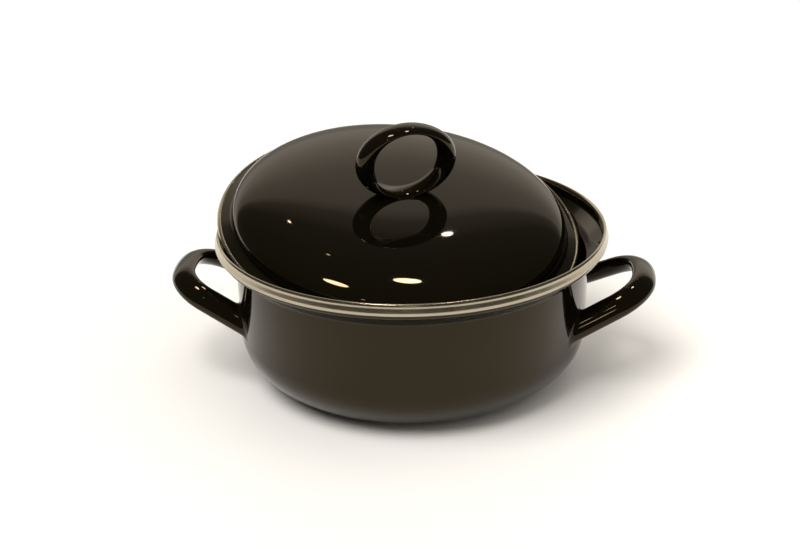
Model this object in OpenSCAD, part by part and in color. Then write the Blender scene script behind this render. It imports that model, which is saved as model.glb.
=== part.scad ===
// Enamelled steel dutch oven with stainless edge bands, two loop handles and a
// domed lid with a standing ring. The lid lies askew: its front right edge has
// slipped down onto the inner ledge and its back left edge stands on the rim.
// The origin is the middle of the flat base, +Z is up, +X is the right handle.

/* [Pot] */
// Outside radius of the wall just under the ledge
wall_r = 120; // [118:0.5:124]
// Outside radius of the wall where the bottom corner ends
wall_foot_r = 119; // [114:0.5:120]
// Radius of the flat base
base_r = 77; // [60:1:95]
// Height of the bottom corner's curve
corner_h = 35.4; // [25:0.1:40]
// Height at which the wall turns out into the ledge
ledge_z = 85.3; // [80:0.1:88]
// Angle between the ledge's slope and the upright
ledge_angle = 50; // [40:1:60]
// Width of the ledge, from the wall's outside to the collar's
ledge_width = 11.5; // [9:0.1:14]
// Height of the collar's upper edge above the foot of the ledge
collar_h = 18.3; // [17:0.1:22]
// Thickness of the enamelled sheet of the pot
pot_sheet = 1.6; // [1:0.1:2]

/* [Pot rim band] */
// Height of the band from its lower edge to its top
band_h = 8.1; // [7.4:0.1:9]
// How far the band stands out from the collar
band_out = 1.8; // [1.2:0.1:2.4]
// Thickness of the band over the collar's edge and inside it
band_sheet = 0.6; // [0.4:0.05:1]
// Depth of the band's inner leaf
band_leaf = 2.8; // [1.5:0.1:4]
// Free height between the collar's edge and the band's fold
band_gap = 0.5; // [0.2:0.1:1]

/* [Side handles] */
// Half distance between the arms where they meet the wall
arm_half_span = 39.4; // [34:0.2:44]
// Angle by which each arm leans towards the other
arm_lean = 13; // [5:0.5:18]
// Radius of the loop's corners
loop_corner_r = 28; // [20:0.5:30]
// Radius of the loop's outer end
loop_end_r = 86; // [60:1:120]
// Reach of the tube's centre line from the wall, along the loop's plane
loop_reach = 44.7; // [42:0.1:55]
// Angle at which the loop rises outwards
loop_rise = 25.7; // [0:0.1:35]
// Depth inside the wall's foot radius at which the loop's plane starts
loop_inset = 1.4; // [0:0.1:3]
// Height at which the loop's plane starts
loop_z = 51.5; // [48:0.1:62]
// Long and short size of the tube's oval section
loop_section = [17.2, 10.6]; // [6:0.2:20]
// Angle by which the oval's long side leans in over the opening
section_lean = 38.7; // [0:0.1:60]
// Thickness of the tube's wall
loop_sheet = 1.4; // [1:0.1:2]

/* [Lid] */
// Sideways play between the lid's edge and the pot's band, if the lid lay in the middle
lid_play = 4.3; // [3:0.1:5]
// Height of the crown above the middle of the edge band
lid_h = 26; // [24:0.5:32]
// Radius of the crown's shallow curve
crown_r = 900; // [600:10:1600]
// Radius of the shoulder
shoulder_r = 20; // [12:0.5:21]
// Width of the flange, from the dome's side to the outside of the edge band
flange_w = 9.7; // [8:0.1:12]
// Angle by which the dome's side leans in
side_lean = 18; // [10:0.5:24]
// Height of the flange's upper face at the dome's foot
flange_z = 2.6; // [2:0.1:3]
// Radius of the hollow between the dome's side and the flange
flange_hollow_r = 2.2; // [1.5:0.1:3]
// Drop of the flange from the dome's foot to its edge
flange_drop = 1.3; // [0.5:0.1:1.6]
// Thickness of the enamelled sheet of the lid
lid_sheet = 1.4; // [1:0.1:1.8]

/* [Lid rim band] */
// Width and height of the lid's edge band
lid_band = [3.6, 4.2]; // [3:0.1:5]
// How far the flange reaches into the band
lid_band_grip = 2.2; // [1.5:0.1:3]

/* [Lid ring] */
// Width and height of the ring over its outside
ring_size = [70.4, 54]; // [30:0.2:80]
// Half thickness of the ring at its sides, measured in its own plane
ring_side_half = 6.4; // [4:0.1:8]
// Half thickness of the ring at its top and its foot
ring_top_half = 2; // [1.5:0.1:5]
// Half of the ring's width from front to back
ring_half_w = 7.4; // [5:0.1:9]
// Depth of the ring's foot below the crown, where it is welded on
ring_seat = 1.4; // [1:0.1:2]
// Direction of the ring's width, as an angle from the pot's handles
ring_turn = 23.5; // [0:0.5:90]

/* [Lid's place on the pot] */
// Sideways shift of the lid from the pot's axis
lid_shift = [-9.6, 15.09]; // [-18:0.01:18]
// Height of the middle of the lid's edge band
lid_lift = 98.44; // [98:0.01:140]
// Direction in which the lid is raised
lid_raised_to = 122.47; // [0:0.01:360]
// Angle by which the lid is tilted
lid_tilt = 13.73; // [0:0.01:15]

/* [Hidden] */
$fn = 180;
enamel = "#26231e";
steel = "#c9c2b4";

// Radii of the ledge's two bends on the outside of the sheet
lip_bend_r = 1.5;
collar_bend_r = 3.6;
// Fineness of the curves: segments per bend, per corner and per section
bend_steps = 6;
curve_steps = 20;
section_steps = 32;
// Segments of the side handles and of the ring: along them and around them
corner_steps = 9;
end_steps = 4;
tube_steps = 24;
ring_steps = 60;
ring_section_steps = 16;

// Points on a stretch of an ellipse with half sizes rx and ry around c
function oval(c, rx, ry, a0, a1, n) =
    [for (i = [0:n]) let (a = a0 + (a1 - a0) * i / n) c + [rx * cos(a), ry * sin(a)]];
function arc(c, r, a0, a1, n) = oval(c, r, r, a0, a1, n);

// Direction of a path at point i, level where it leaves the axis, and the path
// moved sideways to its left
function along(p, i) =
    let (d = p[i].x == 0 ? [1, 0] : p[min(i + 1, len(p) - 1)] - p[i - 1]) d / norm(d);
function moved_left(p, t) =
    [for (i = [0:len(p) - 1]) let (d = along(p, i)) p[i] + t * [-d.y, d.x]];
function reversed(p) = [for (i = [len(p) - 1:-1:0]) p[i]];

// A sheet of thickness t whose one face follows the path p
function sheet(p, t) = concat(p, reversed(moved_left(p, t)));

// Faces of a skin over rows of n points each; a skin that isn't closed gets ends
function skin_faces(rows, n, closed) = concat(
    [for (i = [0:closed ? rows - 1 : rows - 2]) for (j = [0:n - 1])
        let (a = i * n, b = (i + 1) % rows * n, k = (j + 1) % n)
        each [[a + j, b + j, b + k], [a + j, b + k, a + k]]],
    closed ? [] : [[for (j = [0:n - 1]) j], [for (j = [n - 1:-1:0]) (rows - 1) * n + j]]);

// Pot: the outer face of the sheet, from the middle of the base to the collar
collar_r = wall_r + ledge_width;
collar_top = ledge_z + collar_h;
ledge_top = ledge_z + ledge_width / tan(ledge_angle);
lip_centre = [wall_r + lip_bend_r, ledge_z - lip_bend_r * tan(ledge_angle / 2)];
collar_bend = [collar_r - collar_bend_r, ledge_top + collar_bend_r * tan(ledge_angle / 2)];
pot_skin = concat(
    [[0, 0]],
    oval([base_r, corner_h], wall_foot_r - base_r, corner_h, -90, 0, curve_steps),
    arc(lip_centre, lip_bend_r, 180, 180 - ledge_angle, bend_steps),
    arc(collar_bend, collar_bend_r, -ledge_angle, 0, bend_steps),
    [[collar_r, collar_top]]);

module pot_body() {
    color(enamel) rotate_extrude() polygon(sheet(pot_skin, pot_sheet));
}

// Everything inside the pot's outer face, used to cut the handles to the wall
module pot_block() {
    rotate_extrude() polygon(concat(pot_skin, [[0, collar_top]]));
}

// The band's section is a rounded bar with a slot that holds the collar's edge
collar_in = collar_r - pot_sheet;
band_top = collar_top + band_sheet + band_gap;
band_foot = band_top - band_h;
band_in = collar_in - band_sheet;
band_face = collar_r + band_out;
band_half_w = (band_face - band_in) / 2;
band_shoulder = 2.2;
band_section = concat(
    oval([collar_r, band_foot + band_shoulder], band_out, band_shoulder, -90, 0, bend_steps),
    oval([band_in + band_half_w, band_top - band_shoulder], band_half_w, band_shoulder,
        0, 180, 2 * bend_steps),
    [[band_in, band_top - band_leaf - band_sheet],
     [collar_in, band_top - band_leaf - band_sheet],
     [collar_in, collar_top],
     [collar_r, collar_top]]);

module pot_rim_band() {
    color(steel) rotate_extrude() polygon(band_section);
}

// Side handle: one bent tube, drawn in the loop's plane, where x is the reach and
// y the half span: an arm, a corner, the outer end, and the same mirrored
arm_out = [sin(arm_lean), cos(arm_lean)];
arm_dir = [cos(arm_lean), -sin(arm_lean)];
end_centre = [loop_reach - loop_end_r, 0];
corner_start = [0, arm_half_span] - loop_corner_r * arm_out;
to_corner = corner_start - end_centre;
corner_gap = loop_end_r - loop_corner_r;
arm_length = -to_corner * arm_dir
    + sqrt(pow(to_corner * arm_dir, 2) - to_corner * to_corner + pow(corner_gap, 2));
corner_centre = corner_start + arm_length * arm_dir;
end_angle = atan2(corner_centre.y, corner_centre.x - end_centre.x);
// The arms start this far inside the wall, and are then cut off at its face
arm_root = 14;

// A place on the centre line, with the direction that faces out of the loop
function bend_place(c, r, a) = [c.x + r * cos(a), c.y + r * sin(a), a];
function mirrored(places) =
    [for (i = [len(places) - 1:-1:0]) [places[i].x, -places[i].y, -places[i].z]];
root_place = [for (v = [[0, arm_half_span] - arm_root * arm_dir]) [v.x, v.y, 90 - arm_lean]];
corner_places = [for (i = [0:corner_steps])
    bend_place(corner_centre, loop_corner_r,
        90 - arm_lean + (end_angle - 90 + arm_lean) * i / corner_steps)];
end_places = [for (i = [1:end_steps - 1])
    bend_place(end_centre, loop_end_r, end_angle * (1 - 2 * i / end_steps))];
loop_places = concat(root_place, corner_places, end_places,
    mirrored(corner_places), mirrored(root_place));

// The tube's skin, drawn in from its outer face by the given amount
module loop_solid(inset) {
    half = loop_section / 2 - [inset, inset];
    c = cos(section_lean - 90);
    s = sin(section_lean - 90);
    points = [for (q = loop_places) for (j = [0:tube_steps - 1])
        let (a = 360 * j / tube_steps, v = [half.x * cos(a), half.y * sin(a)],
             u = c * v.x - s * v.y)
        [q.x + u * cos(q.z), q.y + u * sin(q.z), s * v.x + c * v.y]];
    polyhedron(points, skin_faces(len(loop_places), tube_steps, false));
}

module side_handle() {
    color(enamel) difference() {
        translate([wall_foot_r - loop_inset, 0, loop_z]) rotate([0, -loop_rise, 0]) difference() {
            loop_solid(0);
            loop_solid(loop_sheet);
        }
        pot_block();
    }
}

module side_handle_right() {
    side_handle();
}

module side_handle_left() {
    rotate(180) side_handle();
}

// Lid: the sheet's upper face, from the crown's middle out to the flange's edge
lid_r = band_in - lid_play;
dome_foot_r = lid_r - flange_w;
crown_centre = [0, lid_h - crown_r];
side_up = [-sin(side_lean), cos(side_lean)];
side_in = [-cos(side_lean), -sin(side_lean)];
dome_foot = [dome_foot_r, flange_z];
to_shoulder = dome_foot + shoulder_r * side_in - crown_centre;
shoulder_gap = crown_r - shoulder_r;
side_length = -to_shoulder * side_up
    + sqrt(pow(to_shoulder * side_up, 2) - to_shoulder * to_shoulder + pow(shoulder_gap, 2));
shoulder_centre = dome_foot + shoulder_r * side_in + side_length * side_up;
crown_edge = atan2(shoulder_centre.y - crown_centre.y, shoulder_centre.x);
flange_edge_r = lid_r - lid_band.x + lid_band_grip;
flange_slope = atan(flange_drop / (flange_edge_r - dome_foot_r));
hollow_turn = 90 - side_lean - flange_slope;
hollow_reach = flange_hollow_r * tan(hollow_turn / 2);
hollow_centre = dome_foot + hollow_reach * side_up - flange_hollow_r * side_in;
lid_skin = concat(
    arc(crown_centre, crown_r, 90, crown_edge, curve_steps),
    arc(shoulder_centre, shoulder_r, crown_edge, side_lean, curve_steps),
    arc(hollow_centre, flange_hollow_r, 180 + side_lean, 270 - flange_slope, bend_steps),
    [[flange_edge_r, flange_z - flange_drop]]);

// Puts a piece of the lid where the lid lies on the pot
module on_pot() {
    translate([lid_shift.x, lid_shift.y, lid_lift])
        rotate(lid_raised_to) rotate([0, -lid_tilt, 0]) rotate(-lid_raised_to)
            children();
}

module lid_shell() {
    color(enamel) on_pot() rotate_extrude() polygon(sheet(lid_skin, -lid_sheet));
}

// Everything under the lid's upper face, used to cut the ring to the crown
module lid_block() {
    rotate_extrude() polygon(concat(lid_skin, [[0, flange_z - flange_drop]]));
}

module lid_rim_band() {
    color(steel) on_pot() rotate_extrude() difference() {
        polygon(oval([lid_r - lid_band.x / 2, 0], lid_band.x / 2, lid_band.y / 2,
            0, 360 * (1 - 1 / section_steps), section_steps - 1));
        polygon(sheet(lid_skin, -lid_sheet));
    }
}

// Lid ring: an oval loop on its edge, thick at the sides and thin at the top
ring_centre_line = ring_size / 2 - [ring_side_half, ring_top_half];
ring_z = lid_h - ring_seat + ring_size.y / 2;

function ring_point(t, s) =
    let (c = ring_centre_line,
         out = [c.y * cos(t), c.x * sin(t)] / norm([c.y * cos(t), c.x * sin(t)]),
         half = ring_side_half * pow(cos(t), 2) + ring_top_half * pow(sin(t), 2),
         p = [c.x * cos(t), c.y * sin(t)] + half * cos(s) * out)
    [p.x, ring_half_w * sin(s), ring_z + p.y];

ring_points = [for (i = [0:ring_steps - 1]) for (j = [0:ring_section_steps - 1])
    ring_point(360 * i / ring_steps, 360 * j / ring_section_steps)];

module lid_ring() {
    color(enamel) on_pot() difference() {
        rotate(ring_turn)
            polyhedron(ring_points, skin_faces(ring_steps, ring_section_steps, true));
        lid_block();
    }
}

pot_body();
pot_rim_band();
side_handle_right();
side_handle_left();
lid_shell();
lid_rim_band();
lid_ring();
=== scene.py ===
from math import atan, atan2, cos, hypot, pi, radians, sin, sqrt, tan

import bmesh
import bpy
from mathutils import Matrix, Vector


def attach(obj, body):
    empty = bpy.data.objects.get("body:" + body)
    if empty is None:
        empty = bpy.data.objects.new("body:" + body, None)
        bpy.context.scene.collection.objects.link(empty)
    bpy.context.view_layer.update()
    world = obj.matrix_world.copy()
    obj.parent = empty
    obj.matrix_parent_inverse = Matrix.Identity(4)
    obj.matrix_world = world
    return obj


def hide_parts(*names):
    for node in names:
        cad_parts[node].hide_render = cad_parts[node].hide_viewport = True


# Sizes are in millimetres, as in the part's source, and meshes are made in metres
MM = 0.001

# Camera: fitted to the photograph, with the pot's handles turned a little to it
VIEW_AZIMUTH = 5.9
VIEW_ELEVATION = 23.51
VIEW_ROLL = -1.4
VIEW_DISTANCE = 1130.23
FRAME_SIZE = (800, 549)
FOCAL_PX = 1600
ORIGIN_PX = (414.01, 362.12)
SENSOR_MM = 36
CLIP = (0.01, 100)

# Pot
WALL_R = 120
WALL_FOOT_R = 119
BASE_R = 77
CORNER_H = 35.4
LEDGE_Z = 85.3
LEDGE_ANGLE = radians(50)
COLLAR_R = 131.5
COLLAR_TOP = 103.6
POT_SHEET = 1.6
LIP_BEND_R = 1.5
COLLAR_BEND_R = 3.6

# Pot rim band
BAND_TOP = 104.7
BAND_H = 8.1
BAND_OUT = 1.8
BAND_SHEET = 0.6
BAND_LEAF = 2.8
BAND_SHOULDER = 2.2
# How far the band's outer face leans back at its top
BAND_LEAN = 1.1

# Side handles
ARM_HALF_SPAN = 39.4
ARM_LEAN = radians(13)
LOOP_CORNER_R = 28
LOOP_END_R = 86
LOOP_REACH = 44.7
LOOP_RISE = radians(25.7)
LOOP_X = 117.6
LOOP_Z = 51.5
LOOP_SECTION = (17.2, 10.6)
SECTION_LEAN = radians(38.7)
HANDLE_FILLET = 4.5
# How deep the arms' ends are sunk in the wall
HANDLE_SUNK = 0.8
# How far along an arm the wall is looked for, and how often that way is halved
ARM_REACH = 60
ARM_HALVINGS = 40

# Lid
LID_R = 125
LID_H = 26
DOME_FOOT_R = 115.3
# The superellipse's power: 2 is an ellipse, and more is fuller
DOME_FULLNESS = 3.1
# The dome's own points stop this far above the hollow at its foot
DOME_END_GAP = 0.3
FLANGE_Z = 2.6
FLANGE_HOLLOW_R = 2.2
FLANGE_DROP = 1.3
LID_SHEET = 1.4
LID_BAND = (3.6, 4.2)
LID_BAND_GRIP = 2.2

# Lid ring
RING_SIZE = (70.4, 54)
RING_SIDE_HALF = 6.4
RING_TOP_HALF = 2
RING_HALF_W = 7.4
RING_SEAT = 1.4
RING_TURN = radians(23.5)
RING_FILLET = 1.6
# The ring's foot flares out in full where at least this share of its normal is level
RING_FLARE_FROM = 0.5

# Where the lid lies on the pot
LID_SHIFT = (-9.6, 15.09)
LID_LIFT = 98.44
LID_RAISED_TO = radians(122.47)
LID_TILT = radians(13.73)

# Enamel: width and depth of its sag and its ripple, and width of the smudges on it
SAG_SIZE = 45.45
SAG_DEPTH = 0.06
RIPPLE_SIZE = 6.667
RIPPLE_DEPTH = 0.004
SMUDGE_SIZE = 71.43

# Stainless: the rolled lines, drawn coarser than real ones so that they show, and the
# width of its cloudy patches
HAIR_SIZE = 0.2857
HAIR_DEPTH = 0.003
CLOUD_SIZE = 25

# Table: width of its mottle
MOTTLE_SIZE = 166.7

# Lathe, in metres: the circle that sections are swept round, in how many segments, and
# how near points have to be to merge
LATHE_CIRCLE = 0.1
LATHE_SEGMENTS = 256
MERGE_DISTANCE = 0.000002

# Steps along the curves, and the angle from which an edge is sharp
BASE_STEPS = 12
CORNER_STEPS = 60
WALL_STEPS = 16
LIP_STEPS = 10
SLOPE_STEPS = 6
COLLAR_STEPS = 14
EDGE_STEPS = 4
BAND_STEPS = 14
BEAD_STEPS = 40
DOME_STEPS = 110
HOLLOW_STEPS = 14
FLANGE_STEPS = 3
TUBE_STEPS = 56
RING_STEPS = 200
LOOP_CORNER_STEPS = 28
LOOP_END_STEPS = 20
ROOT_STEPS = 8
SHARP_ANGLE = radians(40)

# Studio, in metres: a floor, far lamps, and a wall behind the pot that fades out sideways
FLOOR_HALF = 4
LAMP_DISTANCE = 6
LAMP_COLOUR = "#fff4e4"
WALL_TO_LEFT = 0.3
WALL_SIDE_FADE = 0.6
WALL_WARMTH = (1, 0.92, 0.8)
# Least distance to divide by, for the directions that don't meet the wall
WALL_NEAREST = 0.03
# Brightness of the wall at each height / distance
WALL_LIGHT = ((0, 0.36), (0.3, 0.55), (0.45, 1.0), (0.6, 1.12), (0.8, 1.0), (0.95, 0.76), (1.1, 0.64),
              (1.17, 0.3), (1.35, 0.12), (2, 0.09))


# Camera

def add_camera():
    """The photograph's camera, placed so that the pot's origin falls on its own pixel."""
    tilt, roll = radians(VIEW_ELEVATION), radians(VIEW_ROLL)
    right = Vector((1, 0, 0))
    look = Vector((0, cos(tilt), -sin(tilt)))
    up = right.cross(look)
    side = cos(roll) * right + sin(roll) * up
    top = cos(roll) * up - sin(roll) * right
    du = (ORIGIN_PX[0] - FRAME_SIZE[0] / 2) / FOCAL_PX
    dv = (FRAME_SIZE[1] / 2 - ORIGIN_PX[1]) / FOCAL_PX
    place = -VIEW_DISTANCE * MM * (du * side + dv * top + look).normalized()
    data = bpy.data.cameras.new("camera")
    data.sensor_width = SENSOR_MM
    data.lens = FOCAL_PX * SENSOR_MM / FRAME_SIZE[0]
    data.clip_start, data.clip_end = CLIP
    camera = bpy.data.objects.new("camera", data)
    axes = Matrix((side, top, -look)).transposed().to_4x4()
    turn = Matrix.Rotation(radians(VIEW_AZIMUTH), 4, "Z")
    camera.matrix_world = turn @ Matrix.Translation(place) @ axes
    bpy.context.scene.collection.objects.link(camera)
    bpy.context.scene.camera = camera


# Nodes and materials

def srgb(text):
    """Linear red, green, blue and alpha of a hex colour."""
    parts = [int(text[i:i + 2], 16) / 255 for i in (1, 3, 5)]
    return [c / 12.92 if c <= 0.04045 else ((c + 0.055) / 1.055) ** 2.4 for c in parts] + [1]


def add_node(tree, kind, settings=None, links=None):
    """Adds a node, sets its properties and sockets, and links sockets to it."""
    made = tree.nodes.new(kind)
    for name, value in (settings or {}).items():
        if isinstance(name, str) and hasattr(made, name):
            setattr(made, name, value)
        else:
            made.inputs[name].default_value = value
    for name, source in (links or {}).items():
        tree.links.new(source, made.inputs[name])
    return made


def maths(tree, operation, first, second):
    """A Math node's result from two values, each a socket or a number."""
    given = {0: first, 1: second}
    links = {i: value for i, value in given.items() if isinstance(value, bpy.types.NodeSocket)}
    numbers = {i: value for i, value in given.items() if i not in links}
    return add_node(tree, "ShaderNodeMath", {"operation": operation, **numbers}, links).outputs[0]


def noise_scale(size):
    """The scale of a noise texture whose patches are this wide."""
    return 1 / (size * MM)


def new_material(name):
    """An empty material, its tree and its output node."""
    material = bpy.data.materials.new(name)
    material.use_nodes = True
    material.node_tree.nodes.clear()
    return material, material.node_tree, add_node(material.node_tree, "ShaderNodeOutputMaterial")


def fired_enamel():
    """Glass enamel fired on pressed steel: black with a brown cast, wet gloss, and
    the slow ripple that melted glass keeps as it sets."""
    material, tree, out = new_material("black_fired_enamel")
    place = add_node(tree, "ShaderNodeTexCoord").outputs["Object"]
    sag = add_node(tree, "ShaderNodeTexNoise", {"Scale": noise_scale(SAG_SIZE), "Detail": 1},
                   {"Vector": place})
    ripple = add_node(tree, "ShaderNodeTexNoise", {"Scale": noise_scale(RIPPLE_SIZE), "Detail": 2},
                      {"Vector": place})
    smudge = add_node(tree, "ShaderNodeTexNoise",
                      {"Scale": noise_scale(SMUDGE_SIZE), "Detail": 5, "Roughness": 0.6},
                      {"Vector": place})
    slow = add_node(tree, "ShaderNodeBump", {"Strength": 1, "Distance": SAG_DEPTH * MM},
                    {"Height": sag.outputs[0]})
    fine = add_node(tree, "ShaderNodeBump", {"Strength": 1, "Distance": RIPPLE_DEPTH * MM},
                    {"Height": ripple.outputs[0], "Normal": slow.outputs[0]})
    gloss = add_node(tree, "ShaderNodeMapRange",
                     {"From Min": 0.35, "From Max": 0.75, "To Min": 0.02, "To Max": 0.045},
                     {"Value": smudge.outputs[0]})
    cast = add_node(tree, "ShaderNodeValToRGB", links={"Fac": smudge.outputs[0]})
    cast.color_ramp.elements[0].color = srgb("#070602")
    cast.color_ramp.elements[1].color = srgb("#0c0a05")
    shader = add_node(tree, "ShaderNodeBsdfPrincipled", {"IOR": 1.42, "Specular Tint": srgb("#ffe8c0")},
                      {"Base Color": cast.outputs[0], "Roughness": gloss.outputs[0],
                       "Normal": fine.outputs[0]})
    tree.links.new(shader.outputs[0], out.inputs[0])
    return material


def rolled_stainless(name, pose):
    """Polished stainless strip: warm silver with hair-fine lines left along the strip
    by the rolling. pose is where the strip's ring lies, so that the lines follow it."""
    material, tree, out = new_material(name)
    place = add_node(tree, "ShaderNodeTexCoord").outputs["Object"]
    untilted = pose.inverted()
    own = add_node(tree, "ShaderNodeMapping",
                   {"vector_type": "POINT", "Location": untilted.translation,
                    "Rotation": untilted.to_euler()}, {"Vector": place})
    split = add_node(tree, "ShaderNodeSeparateXYZ", links={"Vector": own.outputs[0]})
    flat = add_node(tree, "ShaderNodeCombineXYZ",
                    links={"X": split.outputs["X"], "Y": split.outputs["Y"]})
    reach = add_node(tree, "ShaderNodeVectorMath", {"operation": "LENGTH"}, {0: flat.outputs[0]})
    lines = add_node(tree, "ShaderNodeCombineXYZ",
                     links={"X": reach.outputs["Value"], "Y": split.outputs["Z"]})
    hair = add_node(tree, "ShaderNodeTexNoise", {"Scale": noise_scale(HAIR_SIZE), "Detail": 3},
                    {"Vector": lines.outputs[0]})
    cloud = add_node(tree, "ShaderNodeTexNoise", {"Scale": noise_scale(CLOUD_SIZE), "Detail": 3},
                     {"Vector": place})
    both = maths(tree, "ADD", hair.outputs[0], cloud.outputs[0])
    gloss = add_node(tree, "ShaderNodeMapRange",
                     {"From Min": 0.6, "From Max": 1.4, "To Min": 0.12, "To Max": 0.26},
                     {"Value": both})
    bump = add_node(tree, "ShaderNodeBump", {"Strength": 0.6, "Distance": HAIR_DEPTH * MM},
                    {"Height": hair.outputs[0]})
    tint = add_node(tree, "ShaderNodeValToRGB", links={"Fac": cloud.outputs[0]})
    tint.color_ramp.elements[0].color = srgb("#a79d88")
    tint.color_ramp.elements[1].color = srgb("#bdb4a2")
    shader = add_node(tree, "ShaderNodeBsdfPrincipled", {"Metallic": 1.0},
                      {"Base Color": tint.outputs[0], "Roughness": gloss.outputs[0],
                       "Normal": bump.outputs[0]})
    tree.links.new(shader.outputs[0], out.inputs[0])
    return material


def pale_table():
    """Matt white laminate under the pot."""
    material, tree, out = new_material("pale_table")
    place = add_node(tree, "ShaderNodeTexCoord").outputs["Object"]
    mottle = add_node(tree, "ShaderNodeTexNoise", {"Scale": noise_scale(MOTTLE_SIZE), "Detail": 3},
                      {"Vector": place})
    tint = add_node(tree, "ShaderNodeValToRGB", links={"Fac": mottle.outputs[0]})
    tint.color_ramp.elements[0].color = srgb("#f1efec")
    tint.color_ramp.elements[1].color = srgb("#f6f4f1")
    shader = add_node(tree, "ShaderNodeBsdfPrincipled", {"Roughness": 0.6},
                      {"Base Color": tint.outputs[0]})
    tree.links.new(shader.outputs[0], out.inputs[0])
    return material


# Shapes

def arc(centre, radius, start, end, steps):
    """Points on a circle's arc, or on an ellipse's where radius is a pair."""
    rx, ry = radius if isinstance(radius, tuple) else (radius, radius)
    turns = [start + (end - start) * i / steps for i in range(steps + 1)]
    return [(centre[0] + rx * cos(a), centre[1] + ry * sin(a)) for a in turns]


def line(start, end, steps):
    """The points of a straight line after its start."""
    return [tuple(a + (b - a) * i / steps for a, b in zip(start, end)) for i in range(1, steps + 1)]


def moved_left(path, distance):
    """The path moved sideways to its left, level where it leaves the axis."""
    moved = []
    for i, point in enumerate(path):
        before, after = path[max(i - 1, 0)], path[min(i + 1, len(path) - 1)]
        way = Vector((1, 0)) if point[0] == 0 else (Vector(after) - Vector(before)).normalized()
        moved.append((point[0] - distance * way.y, point[1] + distance * way.x))
    return moved


def wall_swell(share):
    """The wall's outer radius at a share of the way from the corner up to the ledge: it
    swells in a smooth step, so that the wall stands upright at both ends."""
    return WALL_FOOT_R + (WALL_R - WALL_FOOT_R) * share * share * (3 - 2 * share)


def pot_outline():
    """The outer face of the pot's sheet, from the middle of the base to the collar."""
    half = tan(LEDGE_ANGLE / 2)
    ledge_top = LEDGE_Z + (COLLAR_R - WALL_R) / tan(LEDGE_ANGLE)
    lip = (WALL_R + LIP_BEND_R, LEDGE_Z - LIP_BEND_R * half)
    shoulder = (COLLAR_R - COLLAR_BEND_R, ledge_top + COLLAR_BEND_R * half)
    corner = arc((BASE_R, CORNER_H), (WALL_FOOT_R - BASE_R, CORNER_H), -pi / 2, 0, CORNER_STEPS)
    shares = [i / WALL_STEPS for i in range(1, WALL_STEPS)]
    wall = [(wall_swell(share), CORNER_H + (lip[1] - CORNER_H) * share) for share in shares]
    bend = arc(lip, LIP_BEND_R, pi, pi - LEDGE_ANGLE, LIP_STEPS)
    collar = arc(shoulder, COLLAR_BEND_R, -LEDGE_ANGLE, 0, COLLAR_STEPS)
    slope = line(bend[-1], collar[0], SLOPE_STEPS)[:-1]
    base = [(0, 0)] + line((0, 0), (BASE_R, 0), BASE_STEPS)[:-1]
    edge = line(collar[-1], (COLLAR_R, COLLAR_TOP), EDGE_STEPS)
    return base + corner + wall + bend + slope + collar + edge


def wall_radius(z):
    """The outer radius of the pot's wall at a height."""
    if z < CORNER_H:
        return BASE_R + (WALL_FOOT_R - BASE_R) * sqrt(1 - ((CORNER_H - z) / CORNER_H) ** 2)
    return wall_swell(min((z - CORNER_H) / (LEDGE_Z - CORNER_H), 1))


def dome_height(radius):
    """The height of the dome's upper face, a superellipse, at a radius inside its foot."""
    fall = (radius / DOME_FOOT_R) ** DOME_FULLNESS
    return FLANGE_Z + (LID_H - FLANGE_Z) * (1 - fall) ** (1 / DOME_FULLNESS)


def lid_outline():
    """The upper face of the lid's sheet, from the crown's middle to the flange's edge."""
    edge_r = LID_R - LID_BAND[0] + LID_BAND_GRIP
    slope = atan(FLANGE_DROP / (edge_r - DOME_FOOT_R))
    hollow_z = FLANGE_Z + FLANGE_HOLLOW_R * tan((pi / 2 - slope) / 2)
    dip = arc((DOME_FOOT_R + FLANGE_HOLLOW_R, hollow_z), FLANGE_HOLLOW_R, pi, 1.5 * pi - slope,
              HOLLOW_STEPS)
    dome = []
    for i in range(DOME_STEPS):
        turn = pi / 2 * i / DOME_STEPS
        radius = DOME_FOOT_R * sin(turn) ** (2 / DOME_FULLNESS)
        height = FLANGE_Z + (LID_H - FLANGE_Z) * cos(turn) ** (2 / DOME_FULLNESS)
        if height > hollow_z + DOME_END_GAP:
            dome.append((radius, height))
    return dome + dip + line(dip[-1], (edge_r, FLANGE_Z - FLANGE_DROP), FLANGE_STEPS)


def pot_band_section():
    """The pot's rolled band: a rounded strip folded over the collar's edge."""
    inner = COLLAR_R - POT_SHEET
    inner_face = inner - BAND_SHEET
    half = (COLLAR_R + BAND_OUT - BAND_LEAN - inner_face) / 2
    leaf = BAND_TOP - BAND_LEAF - BAND_SHEET
    lower = arc((COLLAR_R, BAND_TOP - BAND_H + BAND_SHOULDER), (BAND_OUT, BAND_SHOULDER),
                -pi / 2, 0, BAND_STEPS)
    upper = arc((inner_face + half, BAND_TOP - BAND_SHOULDER), (half, BAND_SHOULDER),
                0, pi, 2 * BAND_STEPS)
    face = line(lower[-1], upper[0], EDGE_STEPS)[:-1]
    inside = [(inner_face, leaf), (inner, leaf), (inner, COLLAR_TOP), (COLLAR_R, COLLAR_TOP)]
    return lower + face + upper + inside


def lid_band_section():
    """The lid's band: an oval bead closed round the flange's edge."""
    half = (LID_BAND[0] / 2, LID_BAND[1] / 2)
    return arc((LID_R - half[0], 0), half, 0, 2 * pi, BEAD_STEPS)[:-1]


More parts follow.
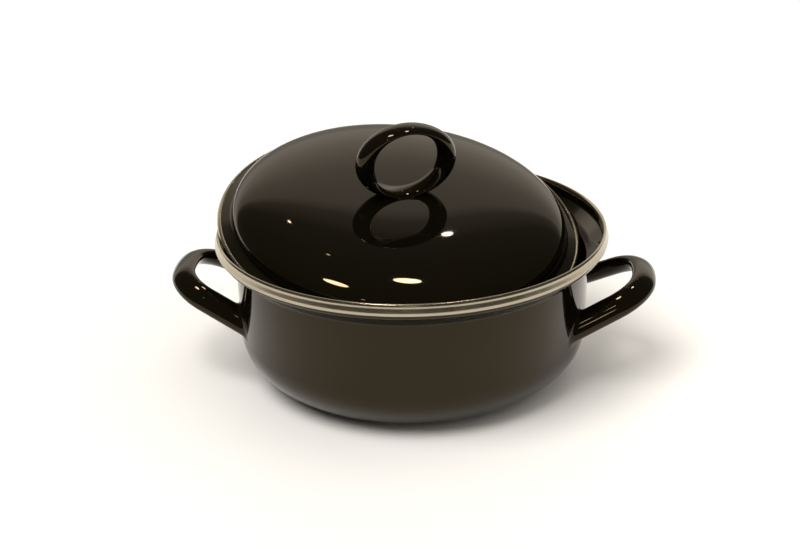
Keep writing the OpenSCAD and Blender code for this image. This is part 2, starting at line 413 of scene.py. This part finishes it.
def lathe_tree():
    """Geometry Nodes that turn a section into a ring or a vessel: the section is swept
    round a circle, the points that meet on the axis are merged, and it gets its material."""
    tree = bpy.data.node_groups.new("lathe", "GeometryNodeTree")
    sockets = tree.interface
    sockets.new_socket("Geometry", in_out="OUTPUT", socket_type="NodeSocketGeometry")
    for name, kind in (("Section", "Object"), ("Circle Radius", "Float"), ("Segments", "Int"),
                       ("Merge Distance", "Float"), ("Material", "Material")):
        sockets.new_socket(name, in_out="INPUT", socket_type="NodeSocket" + kind)
    given = add_node(tree, "NodeGroupInput").outputs
    section = add_node(tree, "GeometryNodeObjectInfo", links={"Object": given["Section"]})
    circle = add_node(tree, "GeometryNodeCurvePrimitiveCircle",
                      links={"Resolution": given["Segments"], "Radius": given["Circle Radius"]})
    swept = add_node(tree, "GeometryNodeCurveToMesh",
                     links={"Curve": circle.outputs[0], "Profile Curve": section.outputs["Geometry"]})
    joined = add_node(tree, "GeometryNodeMergeByDistance",
                      links={"Geometry": swept.outputs[0], "Distance": given["Merge Distance"]})
    real = add_node(tree, "GeometryNodeRealizeInstances", links={0: joined.outputs[0]})
    painted = add_node(tree, "GeometryNodeSetMaterial",
                       links={"Geometry": real.outputs[0], "Material": given["Material"]})
    out = add_node(tree, "NodeGroupOutput")
    tree.links.new(painted.outputs[0], out.inputs[0])
    return tree


def set_input(modifier, tree, name, value):
    """Sets a named input of a Geometry Nodes modifier by its socket's identifier."""
    found = [s for s in tree.interface.items_tree if s.name == name and s.in_out == "INPUT"]
    modifier[found[0].identifier] = value


def turned(name, tree, section, closed, material, pose):
    """A turned piece: its section, as radius and height, swept round the Z axis by
    the lathe tree, then set in its pose."""
    data = bpy.data.curves.new(name + "_section", "CURVE")
    data.dimensions = "2D"
    data.fill_mode = "NONE"
    spline = data.splines.new("POLY")
    spline.points.add(len(section) - 1)
    for point, (radius, height) in zip(spline.points, section):
        point.co = (radius * MM - LATHE_CIRCLE, -height * MM, 0, 1)
    spline.use_cyclic_u = closed
    profile = bpy.data.objects.new(name + "_section", data)
    holder = bpy.data.objects.new(name + "_lathe", bpy.data.meshes.new(name + "_lathe"))
    for thing in (profile, holder):
        bpy.context.scene.collection.objects.link(thing)
    modifier = holder.modifiers.new("lathe", "NODES")
    modifier.node_group = tree
    given = {"Section": profile, "Circle Radius": LATHE_CIRCLE, "Segments": LATHE_SEGMENTS,
             "Merge Distance": MERGE_DISTANCE, "Material": material}
    for key, value in given.items():
        set_input(modifier, tree, key, value)
    bpy.context.view_layer.update()
    graph = bpy.context.evaluated_depsgraph_get()
    mesh = bpy.data.meshes.new_from_object(holder.evaluated_get(graph))
    for thing in (profile, holder):
        bpy.data.objects.remove(thing)
    mesh.transform(pose)
    return finished(name, mesh)


def finished(name, mesh):
    """A shown piece at the origin: its faces turned outwards, and smooth."""
    work = bmesh.new()
    work.from_mesh(mesh)
    if work.calc_volume(signed=True) < 0:
        bmesh.ops.reverse_faces(work, faces=work.faces)
    work.to_mesh(mesh)
    work.free()
    mesh.shade_smooth()
    mesh.set_sharp_from_angle(angle=SHARP_ANGLE)
    mesh.name = name
    piece = bpy.data.objects.new(name, mesh)
    bpy.context.scene.collection.objects.link(piece)
    return piece


def skinned(name, rows, closed, material):
    """A skin over rows of as many points each, in millimetres. One that isn't closed
    is capped by its end rows' middles."""
    mesh = bpy.data.meshes.new(name)
    n = len(rows[0])
    points = [Vector(p) * MM for row in rows for p in row]
    faces = []
    for i in range(len(rows) if closed else len(rows) - 1):
        a, b = i * n, (i + 1) % len(rows) * n
        faces += [(a + j, b + j, b + (j + 1) % n, a + (j + 1) % n) for j in range(n)]
    if not closed:
        for start, step in ((0, 1), ((len(rows) - 1) * n, -1)):
            middle = sum((points[start + j] for j in range(n)), Vector()) / n
            points.append(middle)
            faces += [(start + j, start + (j + 1) % n, len(points) - 1)[::step] for j in range(n)]
    mesh.from_pydata(points, [], faces)
    mesh.materials.append(material)
    work = bmesh.new()
    work.from_mesh(mesh)
    bmesh.ops.recalc_face_normals(work, faces=work.faces)
    work.to_mesh(mesh)
    work.free()
    return finished(name, mesh)


def loop_places():
    """The handle's centre line in its own plane: reach, half span, and the direction
    that faces out of the loop. The arms are the straight lines before and after it."""
    arm = Vector((cos(ARM_LEAN), -sin(ARM_LEAN)))
    outward = Vector((sin(ARM_LEAN), cos(ARM_LEAN)))
    end = Vector((LOOP_REACH - LOOP_END_R, 0))
    start = Vector((0, ARM_HALF_SPAN)) - LOOP_CORNER_R * outward
    gap = start - end
    length = -gap.dot(arm) + sqrt(gap.dot(arm) ** 2 - gap.dot(gap) + (LOOP_END_R - LOOP_CORNER_R) ** 2)
    corner = start + length * arm
    end_angle = atan2(corner.y - end.y, corner.x - end.x)
    first = pi / 2 - ARM_LEAN
    places = []
    for i in range(LOOP_CORNER_STEPS + 1):
        a = first + (end_angle - first) * i / LOOP_CORNER_STEPS
        places.append((corner.x + LOOP_CORNER_R * cos(a), corner.y + LOOP_CORNER_R * sin(a), a))
    for i in range(1, LOOP_END_STEPS):
        a = end_angle * (1 - 2 * i / LOOP_END_STEPS)
        places.append((end.x + LOOP_END_R * cos(a), end.y + LOOP_END_R * sin(a), a))
    return places + [(x, -y, -a) for x, y, a in places[LOOP_CORNER_STEPS::-1]]


def handle_row(place):
    """The tube's oval section at a place of the centre line, in the loop's plane."""
    x, y, facing = place
    c, s = cos(SECTION_LEAN - pi / 2), sin(SECTION_LEAN - pi / 2)
    row = []
    for j in range(TUBE_STEPS):
        a = 2 * pi * j / TUBE_STEPS
        vx, vy = LOOP_SECTION[0] / 2 * cos(a), LOOP_SECTION[1] / 2 * sin(a)
        u = c * vx - s * vy
        row.append(Vector((x + u * cos(facing), y + u * sin(facing), s * vx + c * vy)))
    return row


def root_rows(row, way):
    """Rows that carry an arm from its first section down to the wall, with the
    hollow that enamel and weld leave in the corner. way points at the wall."""
    met = []
    for point in row:
        low, high = 0, ARM_REACH
        for _ in range(ARM_HALVINGS):
            middle = (low + high) / 2
            p = point + middle * way
            if hypot(p.x, p.y) > wall_radius(p.z):
                low = middle
            else:
                high = middle
        met.append(point + low * way)
    centre = sum(met, Vector()) / len(met)
    rows = [[] for _ in range(ROOT_STEPS + 3)]
    for point, corner in zip(row, met):
        normal = Vector((corner.x, corner.y, 0)).normalized()
        spread = corner - centre
        spread = (spread - spread.dot(normal) * normal).normalized()
        start = corner - HANDLE_FILLET * way
        end = corner + HANDLE_FILLET * spread
        scale = wall_radius(end.z) / hypot(end.x, end.y)
        end = Vector((end.x * scale, end.y * scale, end.z))
        rows[0].append((point + start) / 2)
        # One curve that leaves along the arm and ends along the wall
        for i in range(ROOT_STEPS + 1):
            t = i / ROOT_STEPS
            rows[i + 1].append((1 - t) ** 2 * start + 2 * t * (1 - t) * corner + t * t * end)
        sunk = 1 - HANDLE_SUNK / hypot(end.x, end.y)
        rows[-1].append(Vector((end.x * sunk, end.y * sunk, end.z)))
    return rows


def side_handle(name, turn, material):
    """One bent enamelled tube with its roots on the pot's wall."""
    lay = Matrix.Translation((LOOP_X, 0, LOOP_Z)) @ Matrix.Rotation(-LOOP_RISE, 4, "Y")
    rows = [[lay @ p for p in handle_row(place)] for place in loop_places()]
    arm = lay.to_3x3() @ Vector((cos(ARM_LEAN), -sin(ARM_LEAN), 0))
    far_arm = lay.to_3x3() @ Vector((cos(ARM_LEAN), sin(ARM_LEAN), 0))
    near = root_rows(rows[0], -arm)
    far = root_rows(rows[-1], -far_arm)
    rows = near[::-1] + rows + far
    spin = Matrix.Rotation(turn, 4, "Z")
    return skinned(name, [[spin @ p for p in row] for row in rows], False, material)


def lid_ring(name, pose, material):
    """The ring that stands on the crown, with enamel pooled where its foot is welded."""
    line_x, line_y = RING_SIZE[0] / 2 - RING_SIDE_HALF, RING_SIZE[1] / 2 - RING_TOP_HALF
    middle = LID_H - RING_SEAT + RING_SIZE[1] / 2
    spin = Matrix.Rotation(RING_TURN, 4, "Z")
    rows = []
    for i in range(RING_STEPS):
        t = 2 * pi * i / RING_STEPS
        out = Vector((line_y * cos(t), line_x * sin(t))).normalized()
        half = RING_SIDE_HALF * cos(t) ** 2 + RING_TOP_HALF * sin(t) ** 2
        row = []
        for j in range(TUBE_STEPS):
            s = 2 * pi * j / TUBE_STEPS
            x, z = Vector((line_x * cos(t), line_y * sin(t))) + half * cos(s) * out
            normal = Vector((out.x * cos(s) / half, sin(s) / RING_HALF_W, out.y * cos(s) / half))
            p = Vector((x, RING_HALF_W * sin(s), middle + z))
            # How near the dome is decides how far the ring's foot flares out
            height = min(max(p.z - dome_height(hypot(p.x, p.y)), 0), RING_FILLET)
            level = Vector((normal.x, normal.y, 0))
            if level.length > 0:
                flare = RING_FILLET - sqrt(RING_FILLET ** 2 - (RING_FILLET - height) ** 2)
                share = min(level.length / normal.length / RING_FLARE_FROM, 1)
                p += flare * level.normalized() * share
            row.append(spin @ p)
        rows.append(row)
    piece = skinned(name, rows, True, material)
    piece.data.transform(pose)
    return piece


def lid_pose():
    """The lid's place on the pot, in metres."""
    up = Matrix.Rotation(LID_RAISED_TO, 4, "Z")
    tilt = Matrix.Rotation(-LID_TILT, 4, "Y")
    return Matrix.Translation(Vector((*LID_SHIFT, LID_LIFT)) * MM) @ up @ tilt @ up.inverted()


# Light and floor

def around(azimuth, elevation, distance):
    """A point seen from the pot in a direction: azimuth runs from the front to the right."""
    a, e = radians(azimuth), radians(elevation)
    return distance * Vector((sin(a) * cos(e), -cos(a) * cos(e), sin(e)))


def add_lamp(name, azimuth, elevation, width, power):
    """A round lamp far off in that direction: only glossy surfaces show it, as a spot."""
    data = bpy.data.lights.new(name, "AREA")
    data.shape = "DISK"
    data.size = width
    data.energy = power
    data.color = srgb(LAMP_COLOUR)[:3]
    lamp = bpy.data.objects.new(name, data)
    way = around(azimuth, elevation, 1)
    lamp.location = LAMP_DISTANCE * way
    lamp.visible_diffuse = False
    lamp.rotation_euler = way.to_track_quat("Z", "Y").to_euler()
    bpy.context.scene.collection.objects.link(lamp)


def add_sun(name, azimuth, elevation, width, strength, colour):
    """Even light from a wide soft source, which glossy surfaces don't mirror."""
    data = bpy.data.lights.new(name, "SUN")
    data.energy = strength
    data.angle = radians(width)
    data.color = srgb(colour)[:3]
    sun = bpy.data.objects.new(name, data)
    sun.rotation_euler = around(azimuth, elevation, 1).to_track_quat("Z", "Y").to_euler()
    sun.visible_glossy = False
    bpy.context.scene.collection.objects.link(sun)


def studio_world():
    """A dim room with a pale wall behind the pot, brightest some 30 degrees up. Its ramp
    runs over height / distance, and that grows with the square of the way aside / distance,
    so the wall ends in a soft arch."""
    world = bpy.data.worlds.new("studio")
    world.use_nodes = True
    tree = world.node_tree
    tree.nodes.clear()
    way = add_node(tree, "ShaderNodeTexCoord").outputs["Generated"]
    split = add_node(tree, "ShaderNodeSeparateXYZ", links={"Vector": way}).outputs
    distance = maths(tree, "MAXIMUM", split["Y"], WALL_NEAREST)
    rise = maths(tree, "DIVIDE", split["Z"], distance)
    aside = maths(tree, "ADD", maths(tree, "DIVIDE", split["X"], distance), WALL_TO_LEFT)
    fade = maths(tree, "MULTIPLY", maths(tree, "MULTIPLY", aside, aside), WALL_SIDE_FADE)
    top = WALL_LIGHT[-1][0]
    share = maths(tree, "DIVIDE", maths(tree, "ADD", fade, rise), top)
    wall = add_node(tree, "ShaderNodeValToRGB", links={"Fac": share})
    ramp = wall.color_ramp
    for place, _ in WALL_LIGHT[1:-1]:
        ramp.elements.new(place / top)
    for element, (_, value) in zip(ramp.elements, WALL_LIGHT):
        element.color = (*(value * part for part in WALL_WARMTH), 1)
    light = add_node(tree, "ShaderNodeBackground", {"Strength": 1.0}, {"Color": wall.outputs[0]})
    out = add_node(tree, "ShaderNodeOutputWorld")
    tree.links.new(light.outputs[0], out.inputs[0])
    return world


def add_floor():
    """A wide pale table top at the height of the pot's base."""
    corners = [(x * FLOOR_HALF, y * FLOOR_HALF, 0) for x, y in ((-1, -1), (1, -1), (1, 1), (-1, 1))]
    mesh = bpy.data.meshes.new("table_top")
    mesh.from_pydata(corners, [], [(0, 1, 2, 3)])
    mesh.materials.append(pale_table())
    floor = bpy.data.objects.new("table_top", mesh)
    bpy.context.scene.collection.objects.link(floor)


# The scene

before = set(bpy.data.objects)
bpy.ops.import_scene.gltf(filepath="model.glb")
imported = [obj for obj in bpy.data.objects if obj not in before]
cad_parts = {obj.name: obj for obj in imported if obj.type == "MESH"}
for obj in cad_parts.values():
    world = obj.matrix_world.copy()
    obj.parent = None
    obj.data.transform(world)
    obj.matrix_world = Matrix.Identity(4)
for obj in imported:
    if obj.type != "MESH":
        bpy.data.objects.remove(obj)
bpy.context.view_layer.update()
add_camera()

enamel = fired_enamel()
upright = Matrix.Identity(4)
tilted = lid_pose()
pot_steel = rolled_stainless("rolled_stainless_pot", upright)
lid_steel = rolled_stainless("rolled_stainless_lid", tilted)
lathe = lathe_tree()

pot = pot_outline()
pot_sheet = pot + moved_left(pot, POT_SHEET)[::-1]
lid = lid_outline()
lid_sheet = lid + moved_left(lid, -LID_SHEET)[::-1]
pot_shell = turned("pot_shell", lathe, pot_sheet, False, enamel, upright)
pot_band = turned("pot_edge_band", lathe, pot_band_section(), True, pot_steel, upright)
handle_right = side_handle("handle_right", 0, enamel)
handle_left = side_handle("handle_left", pi, enamel)
lid_dome = turned("lid_dome", lathe, lid_sheet, False, enamel, tilted)
lid_band = turned("lid_edge_band", lathe, lid_band_section(), True, lid_steel, tilted)
lid_grip = lid_ring("lid_grip_ring", tilted, enamel)
pieces = [
    (pot_shell, "pot_body", "black_enamel"),
    (pot_band, "pot_rim_band", "stainless_band"),
    (handle_right, "side_handle_right", "black_enamel"),
    (handle_left, "side_handle_left", "black_enamel"),
    (lid_dome, "lid_shell", "black_enamel"),
    (lid_band, "lid_rim_band", "stainless_band"),
    (lid_grip, "lid_ring", "black_enamel"),
]
for piece, node, slot in pieces:
    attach(piece, "root")
    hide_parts(node)

add_floor()
bpy.context.scene.world = studio_world()
# Azimuth, elevation and width in degrees, then strength
add_sun("window_light", -40, 60, 40, 2.45, "#fffdfa")
add_sun("room_fill", 75, 66, 110, 1.8, "#fffcf6")
# Azimuth and elevation in degrees, width in metres, then power in watts
add_lamp("ceiling_lamp_left", -61.5, 79.2, 0.85, 70)
add_lamp("ceiling_lamp_right", 153.7, 72, 0.5, 26)
add_lamp("far_lamp", 169.5, 49.5, 0.1, 1)
add_lamp("far_lamp_left", -163.4, 54.1, 0.08, 0.4)
add_lamp("far_lamp_small", -169.6, 64.1, 0.06, 0.12)
add_lamp("front_lamp", -9, 51, 0.2, 1.6)
add_lamp("low_front_lamp", 3.6, 32, 0.3, 3)
bpy.context.scene.view_settings.view_transform = "Standard"
